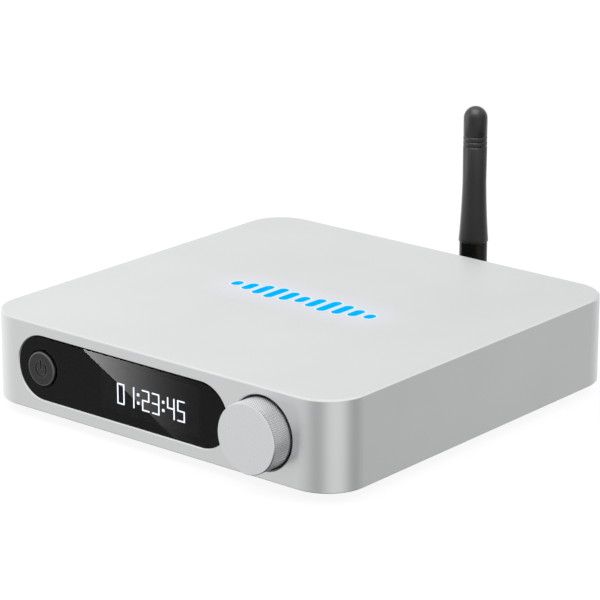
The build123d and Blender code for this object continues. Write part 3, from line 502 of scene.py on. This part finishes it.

# %% [markdown]
# ## The knob's metal
#
# The knob is bright bare aluminium. Its face is a little greyer than its cut side, and shade is
# painted into the valleys of its knurl, so the metal darkens with its depth below the points.

# %% Knob metal
knob_low, knob_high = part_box("control_knob")
knob_centre = (knob_low + knob_high) / 2
knob_length = knob_high.y - knob_low.y
knob_radius = (knob_high.x - knob_low.x) / 2
knob_edge = 0.20 * MM
knurl_depth = 0.13 * MM
valley_radius = knob_radius - knurl_depth
valley_shade_share = 0.35
knob_grain = 0.2 * MM
knob_relief = 0.001 * MM
knob_face_grey = (0.81, 0.82, 0.83)
knob_side_grey = (0.97, 0.98, 0.99)
# The colour of the painted shade in the knurl's valleys.
knob_valley_painted_shade = (0.25, 0.255, 0.26)


def knob_metal():
    """The knob: bright metal, with painted shade down in the valleys of its knurl."""
    start = new_finish("knob_aluminium")
    grain = noise(start, knob_grain, 3.0)
    x, y, z = places(start)
    radius = length_of(x - knob_centre.x, z - knob_centre.z)
    behind = (y - knob_low.y).between(knob_edge * 0.9, knob_edge * 1.1)
    # Painted shade: darker down in the valleys, where the knurl shades itself.
    painted_valley_shade = 1.0 - radius.between(valley_radius, valley_radius + valley_shade_share * knurl_depth)
    metal = behind.blend(knob_face_grey, knob_side_grey)
    close_finish(
        start,
        Base_Color=(painted_valley_shade * behind).blend(metal, knob_valley_painted_shade),
        Metallic=1.0,
        Roughness=0.25 + 0.06 * grain,
        Normal=relief(grain, knob_relief),
    )


knob_metal()
print("knob metal, side", round((knob_length - knob_edge) / MM, 2), "mm long")

# %% [markdown]
# ## Plated metals
#
# Screws, cans, shields and jacks are pressed or turned and then plated. They are smooth, with faint
# marks of the drawing die that break up their reflections.


# %% Plated metals
def plated_metal(name, tint, rough):
    """Plated metal: smooth, with faint drawing marks."""
    start = new_finish(name)
    marks = noise(start, 0.6 * MM, 4.0, 0.6)
    dark = [0.9 * part for part in tint]
    close_finish(
        start,
        Base_Color=marks.between(0.3, 0.7).blend(dark, tint),
        Metallic=1.0,
        Roughness=rough + 0.12 * marks,
        Normal=relief(marks, 0.004 * MM),
    )


plated_metal("screw_steel", (0.62, 0.62, 0.60), 0.22)
plated_metal("screw_black", (0.06, 0.06, 0.065), 0.30)
plated_metal("can_metal", (0.66, 0.66, 0.65), 0.26)
plated_metal("shield_nickel", (0.70, 0.68, 0.64), 0.18)
plated_metal("jack_gold", (0.90, 0.66, 0.28), 0.16)
print("metals:", len(finishes))

# %% [markdown]
# ## Plastics, rubber and boards
#
# Moulds are eroded with sparks, which leaves their plastic with a fine grain. One function draws
# it for all of them, and each has its own colour and gloss. The antenna's boot also has a sheen,
# because its soft skin lightens where it turns away. The antenna's barrel and the display are
# darker than their gloss would show, so less of their light is reflected.


# %% Plastics, rubber and boards
def moulded(name, tint, rough, grain_size=0.5 * MM, grain_depth=0.01 * MM, **more):
    """Moulded plastic or rubber: a fine spark-eroded grain."""
    start = new_finish(name)
    grain = noise(start, grain_size, 3.0)
    pale = [part * 1.25 + 0.002 for part in tint]
    close_finish(
        start,
        Base_Color=grain.between(0.35, 0.75).blend(tint, pale),
        Roughness=rough - 0.05 + 0.1 * grain,
        Normal=relief(grain, grain_depth),
        **more,
    )


moulded("moulded_black", (0.016, 0.016, 0.017), 0.48)
moulded("base_steel", (0.018, 0.018, 0.019), 0.50, 0.4 * MM, 0.02 * MM)
moulded("foot_rubber", (0.022, 0.022, 0.023), 0.78)
sheen = {"Sheen_Weight": 0.7, "Sheen_Roughness": 0.3}
moulded("antenna_boot", (0.006, 0.006, 0.007), 0.42, 0.4 * MM, 0.001 * MM, **sheen)
faint = {"Specular_IOR_Level": 0.2}
moulded("antenna_gloss", (0.006, 0.006, 0.006), 0.16, 2 * MM, 0.002 * MM, **faint)
fainter = {"Specular_IOR_Level": 0.1}
moulded("display_black", (0.004, 0.004, 0.005), 0.3, 2 * MM, 0.001 * MM, **fainter)
moulded("sleeve_dark", (0.02, 0.03, 0.09), 0.30)
moulded("cable_grey", (0.34, 0.35, 0.36), 0.42)
moulded("jack_white", (0.62, 0.62, 0.60), 0.34)
moulded("jack_red", (0.42, 0.012, 0.014), 0.34)
moulded("jack_orange", (0.62, 0.16, 0.01), 0.34)
moulded("board_green", (0.008, 0.055, 0.022), 0.34)
moulded("chip_black", (0.02, 0.02, 0.021), 0.44)
moulded("diode_yellow", (0.62, 0.50, 0.08), 0.30)
print("finishes:", len(finishes))

# %% [markdown]
# ## Lit and clear parts
#
# The bars and the characters of the display shine by themselves, so their colour is emission. The
# characters are bright, because the smoked window in front of them lets little through. The window
# is clear acrylic with a grey tint and a gloss face, and its low index keeps it as dark as it is in
# the picture.

# %% Lit and clear parts
inlay_blue = ((0.0, 0.46, 0.95), (0.0, 0.50, 1.0))
digit_white = ((0.80, 0.86, 1.0), (0.92, 0.96, 1.0))
digit_strength = 9.0
window_tint = (0.14, 0.14, 0.143)
window_index = 1.24


def lit_inlay():
    """The blue bars: clear plastic lit from below, slightly uneven."""
    start = new_finish("inlay_blue")
    close_finish(
        start,
        Base_Color=colour((0.0, 0.02, 0.04)),
        Roughness=0.25,
        Specular_IOR_Level=0.0,
        Emission_Color=noise(start, 4 * MM, 1.0).between(0.2, 0.8).blend(*inlay_blue),
        Emission_Strength=1.0,
    )


def lit_digits():
    """The characters of the display, bright enough to show through the smoked window."""
    start = new_finish("digit_light")
    close_finish(
        start,
        Base_Color=colour((0.1, 0.1, 0.1)),
        Emission_Color=noise(start, 0.6 * MM, 1.0).between(0.2, 0.8).blend(*digit_white),
        Emission_Strength=digit_strength,
    )


def smoked_window():
    """Clear smoked acrylic with a gloss face."""
    start = new_finish("lens_smoke")
    close_finish(
        start,
        Base_Color=colour(window_tint),
        Roughness=0.008 + 0.008 * noise(start, 20 * MM, 1.0),
        Transmission_Weight=1.0,
        IOR=window_index,
    )


lit_inlay()
lit_digits()
smoked_window()
print("all finishes:", len(finishes))

# %% Give every node its finish
for row in frame["record"]["subparts"]:
    mesh = nodes[row["node"]].data
    mesh.materials.clear()
    mesh.materials.append(finishes[row["material_slot"]])
print("finished", len(nodes), "nodes")

# %% [markdown]
# ## Modelling by hand
#
# Some parts need finer shapes than the construction model holds. They are modelled the way one
# works by hand: a primitive, shaped in edit mode, then turned and put in its place. A few helpers
# keep that short. A round piece is a ring of edges that is extruded along a profile, as a lathe
# follows a template.

# %% Selecting and turning
FACING_FRONT = math.radians(90)
FACING_REAR = math.radians(-90)


def fresh():
    """Deselects everything, so that an operator acts on the next new piece alone."""
    if bpy.context.object and bpy.context.object.mode != "OBJECT":
        bpy.ops.object.mode_set(mode="OBJECT")
    bpy.ops.object.select_all(action="DESELECT")


def choose(test):
    """Selects the vertices that pass a test, in edit mode, with what lies between them."""
    bpy.ops.mesh.select_mode(type="VERT")
    bpy.ops.mesh.select_all(action="DESELECT")
    mesh = bmesh.from_edit_mesh(bpy.context.object.data)
    for vertex in mesh.verts:
        vertex.select = test(vertex.co)
    mesh.select_flush_mode()
    bmesh.update_edit_mesh(bpy.context.object.data)


def close_edit():
    """Turns all faces outwards and leaves edit mode."""
    bpy.ops.mesh.select_all(action="SELECT")
    bpy.ops.mesh.normals_make_consistent(inside=False)
    bpy.ops.object.mode_set(mode="OBJECT")


def follow(start, profile):
    """Extrudes the selected ring of edges along a profile of radii and heights."""
    radius, height = start
    for next_radius, next_height in profile:
        rise = {"value": (0, 0, next_height - height)}
        bpy.ops.mesh.extrude_edges_move(TRANSFORM_OT_translate=rise)
        share = next_radius / radius
        bpy.ops.transform.resize(value=(share, share, 1), center_override=(0, 0, 0))
        radius, height = next_radius, next_height


def turned(profile, sides=96, ring=False):
    """A round piece about the Z axis: closed flat at both ends of its profile, or a closed ring."""
    fresh()
    radius, height = profile[0]
    bpy.ops.mesh.primitive_circle_add(vertices=sides, radius=radius)
    bpy.ops.object.mode_set(mode="EDIT")
    bpy.ops.transform.translate(value=(0, 0, height))
    if not ring:
        bpy.ops.mesh.edge_face_add()
        choose(lambda place: True)
    bpy.ops.mesh.select_mode(type="EDGE")
    follow(profile[0], profile[1:])
    if ring:
        bpy.ops.mesh.select_all(action="DESELECT")
        bpy.ops.mesh.select_non_manifold()
        bpy.ops.mesh.bridge_edge_loops()
    else:
        bpy.ops.mesh.edge_face_add()
    close_edit()
    return bpy.context.object


print("a round piece is ready to turn")


# %% Wires, rows and the last touch
def wire(points, width, height):
    """A flat wire along points: a small rectangle extruded from each point to the next."""
    fresh()
    bpy.ops.mesh.primitive_plane_add(size=1, rotation=(FACING_FRONT, 0, 0), location=points[0])
    made = bpy.context.object
    made.scale = (width, height, 1)
    bpy.ops.object.transform_apply(location=True, rotation=True, scale=True)
    bpy.ops.object.mode_set(mode="EDIT")
    bpy.ops.mesh.select_all(action="SELECT")
    for here, there in zip(points, points[1:]):
        bpy.ops.mesh.extrude_region_move(TRANSFORM_OT_translate={"value": there - here})
    close_edit()
    return made


def in_row(piece, count, pitch):
    """Repeats the piece along X and makes the row one mesh."""
    row = piece.modifiers.new("row", "ARRAY")
    row.count = count
    row.use_relative_offset = False
    row.use_constant_offset = True
    row.constant_offset_displace = (pitch, 0, 0)
    bpy.ops.object.modifier_apply(modifier="row")


def finish_piece(name, material, body, place=(0, 0, 0), tilt=0.0, smooth=35):
    """Puts the new piece in its place and gives it its name, finish, shading and body."""
    piece = bpy.context.object
    piece.name = name
    piece.data.name = name
    piece.rotation_euler = (tilt, 0, 0)
    piece.location = place
    bpy.ops.object.transform_apply(location=True, rotation=True, scale=True)
    bpy.ops.object.shade_smooth_by_angle(angle=math.radians(smooth))
    piece.data.materials.clear()
    piece.data.materials.append(finishes[material])
    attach(piece, body)
    return piece


print("modelling helpers are ready")

# %% [markdown]
# ## The knurled knob
#
# The knob's side is cut with a fine diamond knurl, which a plain cylinder can't show. Each diamond
# is a low pyramid. They come from one flat grid: poking every square and joining the triangles
# across the squares' edges gives diamonds, and poking those with an offset raises the points. The
# strip is then bent round into a tube. Where its two ends meet, half diamonds are left flat on both
# sides, so these are joined and poked as well, and the knurl runs on without a seam.

# %% Knurled tube
knurl_around = 112
knurl_rows = 8
knurl_start = 0.25 * MM
knurl_end = knob_length - knob_edge
half_pitch = math.pi * valley_radius / knurl_around
weld = 0.004 * MM
tiny = 0.001 * MM

fresh()
bpy.ops.mesh.primitive_grid_add(x_subdivisions=knurl_around, y_subdivisions=knurl_rows, size=1)
knob = bpy.context.object
knob.scale = (2 * math.pi * valley_radius, knurl_end - knurl_start, 1)
knob.rotation_euler = (FACING_FRONT, 0, 0)
bpy.ops.object.transform_apply(location=False, rotation=True, scale=True)
bpy.ops.object.mode_set(mode="EDIT")
bpy.ops.mesh.select_all(action="SELECT")
bpy.ops.mesh.poke()
bpy.ops.mesh.tris_convert_to_quads()
bpy.ops.mesh.select_mode(type="FACE")
bpy.ops.mesh.select_face_by_sides(number=4, type="EQUAL", extend=False)
bpy.ops.mesh.poke(offset=knurl_depth)
bpy.ops.object.mode_set(mode="OBJECT")
bend = knob.modifiers.new("bend", "SIMPLE_DEFORM")
bend.deform_method = "BEND"
bend.deform_axis = "Z"
bend.angle = 2 * math.pi
bpy.ops.object.modifier_apply(modifier="bend")
knob.location = (0, -valley_radius, (knurl_start + knurl_end) / 2)
bpy.ops.object.transform_apply(location=True, rotation=True, scale=True)


def at_seam(place):
    """The vertices of the flat triangles on both sides of the line where the strip's ends meet."""
    low = place.xy.length < valley_radius + tiny
    return low and place.y > 0 and abs(place.x) < half_pitch + tiny


bpy.ops.object.mode_set(mode="EDIT")
bpy.ops.mesh.select_all(action="SELECT")
bpy.ops.mesh.remove_doubles(threshold=weld)
choose(at_seam)
bpy.ops.mesh.tris_convert_to_quads()
bpy.ops.mesh.poke(offset=knurl_depth)
print("knurl of", knurl_around, "diamonds round and", knurl_rows, "along")

# %% [markdown]
# The face and its small bevel follow as rings extruded from the tube's front end, and the bevel,
# the hollow back and the hole for the shaft from its rear end.

# %% Knob face and back
knurl_runout = 0.04 * MM
face_inset = 0.3 * MM
back_bevel = 0.2 * MM
hollow_radius = 7.2 * MM
hollow_depth = 3.0 * MM
shaft_radius = 3.02 * MM
shaft_depth = 6.0 * MM
front_profile = [
    (knob_radius - knurl_runout, knurl_end + knurl_runout),
    (knob_radius - knob_edge, knob_length),
]
back_profile = [
    (valley_radius - back_bevel, 0),
    (hollow_radius, 0),
    (hollow_radius, hollow_depth),
    (shaft_radius, hollow_depth),
    (shaft_radius, shaft_depth),
]

choose(lambda place: abs(place.z - knurl_end) < tiny)
bpy.ops.mesh.select_mode(type="EDGE")
follow((valley_radius, knurl_end), front_profile)
bpy.ops.mesh.edge_face_add()
bpy.ops.mesh.inset(thickness=face_inset)
choose(lambda place: abs(place.z - knurl_start) < tiny)
bpy.ops.mesh.select_mode(type="EDGE")
follow((valley_radius, knurl_start), back_profile)
bpy.ops.mesh.edge_face_add()
close_edit()
knob_place = (knob_centre.x, knob_high.y, knob_centre.z)
finish_piece("knurled_knob", "knob_aluminium", "knob", knob_place, FACING_FRONT, smooth=12)
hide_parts("control_knob")
print("knob", len(knob.data.polygons), "faces", [round(d / MM, 2) for d in knob.dimensions])

# %% [markdown]
# ## The antenna's boot
#
# The boot is a soft moulded sleeve: it flares towards its foot in a long shallow curve, has three
# fine rings below its tip, and ends in a dome. It is turned from one profile, with close rings
# where the surface bends. Its foot has the lip of the mould, and the hole for the barrel's end.

# %% Boot profile
boot_low, boot_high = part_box("antenna_boot")
boot_centre = (boot_low + boot_high) / 2
boot_length = boot_high.z - boot_low.z
foot_radius = (boot_high.x - boot_low.x) / 2
middle_radius = 3.72 * MM
tip_radius = 3.42 * MM
flare_length = 17.7 * MM
flare_steps = 14
foot_lip = 0.25 * MM
socket_radius = 3.02 * MM
socket_depth = 6.0 * MM
ring_depth = 0.20 * MM
ring_width = 0.5 * MM
ring_pitch = 1.45 * MM
first_ring = 8.6 * MM
ring_count = 3
dome_steps = 14
dome_end = math.radians(89)


def flare(share):
    """The boot's radius along its flare, a curve through the foot, the middle and the end."""
    foot = foot_radius * (1 - share) * (1 - 2 * share)
    middle = middle_radius * 4 * share * (1 - share)
    return foot + middle + tip_radius * share * (2 * share - 1)


boot_profile = [(socket_radius, socket_depth), (socket_radius, 0), (foot_radius - foot_lip, 0)]
for angle in (math.radians(degrees) for degrees in (30, 60, 90)):
    lip_radius = foot_radius - foot_lip * (1 - math.sin(angle))
    boot_profile.append((lip_radius, foot_lip * (1 - math.cos(angle))))
for step in range(1, flare_steps + 1):
    above_foot = max(flare_length * step / flare_steps, foot_lip * 1.5)
    boot_profile.append((flare(step / flare_steps), above_foot))
for index in reversed(range(ring_count)):
    ring = boot_length - first_ring - index * ring_pitch
    for part in (-0.5, -0.25, 0.0, 0.25, 0.5):
        depth = ring_depth * math.cos(math.pi * part) ** 2
        boot_profile.append((tip_radius - depth, ring + part * ring_width))
for step in range(dome_steps):
    angle = dome_end * step / (dome_steps - 1)
    above_foot = boot_length - tip_radius + tip_radius * math.sin(angle)
    boot_profile.append((tip_radius * math.cos(angle), above_foot))
print("boot profile of", len(boot_profile), "points")

# %% [markdown]
# The boot and the wire inside it stay out of reflections: in the satin top they would leave a dark
# streak several times stronger than the faint one of the real case.

# %% Antenna boot
boot = turned(boot_profile, sides=72)
boot_place = (boot_centre.x, boot_centre.y, boot_low.z)
finish_piece("antenna_sleeve", "antenna_boot", "antenna", boot_place, smooth=50)
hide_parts("antenna_boot")
boot.visible_glossy = False
nodes["antenna_radiator"].visible_glossy = False
print("boot", len(boot.data.polygons), "faces", [round(d / MM, 2) for d in boot.dimensions])

# %% [markdown]
# ## The antenna's coupling nut
#
# The nut that screws the antenna onto its jack is turned with a straight knurl for the fingers. It
# is a ring whose profile goes round its wall. Every second edge of the band is then pulled in,
# which leaves a sharp ridge between two grooves.

# %% Coupling nut
nut_low, nut_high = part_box("antenna_coupling")
nut_centre = (nut_low + nut_high) / 2
nut_length = nut_high.y - nut_low.y
nut_radius = (nut_high.x - nut_low.x) / 2
nut_bevel = 0.4 * MM
nut_bore = 3.205 * MM
nut_neck = 2.65 * MM
nut_lip = nut_length - 1.8 * MM
nut_sides = 88
groove_depth = 0.22 * MM
groove_start = 1.3 * MM
groove_end = nut_length - 1.3 * MM
groove_runout = 0.25 * MM
nut_profile = [
    (nut_bore, 0),
    (nut_radius - nut_bevel, 0),
    (nut_radius, nut_bevel),
    (nut_radius, groove_start),
    (nut_radius, groove_start + groove_runout),
    (nut_radius, groove_end - groove_runout),
    (nut_radius, groove_end),
    (nut_radius, nut_length - nut_bevel),
    (nut_radius - nut_bevel, nut_length),
    (nut_neck, nut_length),
    (nut_neck, nut_lip),
    (nut_bore, nut_lip),
]
coupling = turned(nut_profile, sides=nut_sides, ring=True)


def in_groove(place):
    """The vertices of every second edge of the knurled band."""
    edge = round(math.atan2(place.y, place.x) / (2 * math.pi) * nut_sides)
    in_band = groove_start + tiny < place.z < groove_end - tiny
    return in_band and edge % 2 == 1 and place.xy.length > nut_radius - tiny


bpy.ops.object.mode_set(mode="EDIT")
choose(in_groove)
pull = 1 - groove_depth / nut_radius
bpy.ops.transform.resize(value=(pull, pull, 1), center_override=(0, 0, 0))
bpy.ops.object.mode_set(mode="OBJECT")
nut_place = (nut_centre.x, nut_low.y, nut_centre.z)
finish_piece("coupling_nut", "antenna_gloss", "case", nut_place, FACING_REAR, smooth=30)
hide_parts("antenna_coupling")
print("coupling nut", len(coupling.data.polygons), "faces")

# %% [markdown]
# ## Contacts in the sockets
#
# What makes a socket look real is the metal inside it: eight bent spring wires in the network
# socket, a contact sleeve in each round jack and two rows of flat contacts on the tongue of the
# power inlet. Each is made once and repeated. The bends of the wires and the profile of the
# sleeves are in millimetres.

# %% Network contacts
socket_low, socket_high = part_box("network_insert")
socket_middle = (socket_low.x + socket_high.x) / 2
wire_width = 0.40 * MM
wire_pitch = 1.016 * MM
wire_count = 8
wire_path = [(-1.2, 0.0), (-4.0, 0.0), (-4.7, -0.3), (-9.2, -3.4), (-10.4, -3.7)]
first_x = socket_middle - wire_pitch * (wire_count - 1) / 2
first_z = socket_high.z - 0.70 * MM
wire_points = [
    Vector((first_x, socket_high.y + back * MM, first_z + rise * MM)) for back, rise in wire_path
]
in_row(wire(wire_points, wire_width, wire_width), wire_count, wire_pitch)
contacts = finish_piece("network_contacts", "jack_gold", "case", smooth=25)
print("network contacts", len(contacts.data.polygons), "faces")

# %% Round jack contacts
sleeve_path = [(1.15, -4.5), (1.15, -0.2), (1.3, 0.0), (1.45, 0.0), (1.58, -0.15), (1.58, -5.0)]
sleeve_profile = [(radius * MM, height * MM) for radius, height in sleeve_path]
sleeve_recess = 1.0 * MM
jacks = ("line_left", "line_right", "coaxial")
for jack in jacks:
    insert_low, insert_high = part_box(jack + "_insert")
    centre = (insert_low + insert_high) / 2
    turned(sleeve_profile, sides=40)
    sleeve_place = (centre.x, insert_high.y - sleeve_recess, centre.z)
    finish_piece(jack + "_contact", "jack_gold", "case", sleeve_place, FACING_REAR)
print(len(jacks), "contact sleeves")

# %% Power inlet contacts
tongue_low, tongue_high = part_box("inlet_tongue")
tongue_centre = (tongue_low + tongue_high) / 2
tongue_half = 0.35 * MM
pad_count = 12
pad_pitch = 0.5 * MM
pad_width = 0.26 * MM
pad_thickness = 0.06 * MM
pad_length = 3.6 * MM
pad_tip = tongue_high.y - 0.5 * MM
pad_x = tongue_centre.x - pad_pitch * (pad_count - 1) / 2
for side, name in ((1, "inlet_contacts_top"), (-1, "inlet_contacts_under")):
    pad_z = tongue_centre.z + side * tongue_half
    ends = [Vector((pad_x, pad_tip, pad_z)), Vector((pad_x, pad_tip - pad_length, pad_z))]
    in_row(wire(ends, pad_width, pad_thickness), pad_count, pad_pitch)
    finish_piece(name, "jack_gold", "case")
print("two rows of", pad_count, "contacts")

# %% [markdown]
# ## The reflection in the window
#
# A gloss window shows a sharp-edged pale wedge: the reflection of a soft box beside the camera. The
# soft box here is a small card a little in front of the window, whose light fades to its right. It
# is part of the studio, and lights nothing but the window. The camera's lines of sight meet the
# wedge's corners on the window and are reflected there, and the card's corners lie on them.

# %% Soft box card
lens_low, lens_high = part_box("front_lens")
wedge_top = (-0.0235, lens_high.z)
wedge_foot = (0.0085, lens_low.z)
card_gap = 8.0 * MM
card_margin = 2.0 * MM
card_strength = 16.0
fade_start = -0.024
fade_end = 0.020
fade_power = 2.4
to_camera = (camera_place - Vector((0, lens_low.y, 0))).normalized()
slide = to_camera * (card_gap / -to_camera.y)
slope = (wedge_top[0] - wedge_foot[0]) / (wedge_top[1] - wedge_foot[1])
top = lens_high.z + card_margin
foot = max(lens_low.z - card_margin, slide.z)
outline = [
    (wedge_foot[0] + slope * (foot - wedge_foot[1]), foot),
    (fade_end, foot),
    (wedge_top[0] + slope * (top - wedge_top[1]), top),
    (fade_end, top),
]

fresh()
bpy.ops.mesh.primitive_plane_add(size=1)
card = bpy.context.object
card.name = "soft_box_card"
for vertex, (x, z) in zip(card.data.vertices, outline):
    vertex.co = (x - slide.x, lens_low.y - card_gap, z - slide.z)
print("card corners", [tuple(round(c / MM, 1) for c in v.co) for v in card.data.vertices])

# %% Light of the card
soft_box, glow = empty_material("soft_box")
card_x = places(glow)[0]
reach = ((fade_end - slide.x - card_x) / (fade_end - fade_start)).at_least(0.0)
fading = reach.math("POWER", reach, fade_power)
lit = glow.node("Emission", sockets={"Strength": fading * card_strength})
clear = glow.node("BsdfTransparent")
both = glow.node("AddShader", sockets={0: lit, 1: clear})
glow.node("OutputMaterial", sockets={"Surface": both})
card.data.materials.append(soft_box)
card.visible_camera = False
card.visible_diffuse = False
card.visible_shadow = False
card.visible_transmission = False
only_window = bpy.data.collections.new("only_window")
only_window.objects.link(nodes["front_lens"])
card.light_linking.receiver_collection = only_window

# %% [markdown]
# ## Light for the antenna
#
# The boot is almost black, so its round shape shows only by what it reflects: a tall strip at its
# left draws one soft line, and a lamp above lights its tip. Both are linked to the boot alone.

# %% Antenna lamps
only_antenna = bpy.data.collections.new("only_antenna")
only_antenna.objects.link(boot)
antenna_lamps = {
    "antenna_strip": ((-0.30, -0.16, 0.06), 0.16, 0.40, 0.45),
    "antenna_top": ((0.04, -0.06, 0.60), 0.50, 0.50, 4.0),
}
for name, (place, width, height, power) in antenna_lamps.items():
    lamp = area_lamp(name, place, boot_centre, width, height, power)
    lamp.light_linking.receiver_collection = only_antenna
print(sorted(antenna_lamps), "light the boot alone")
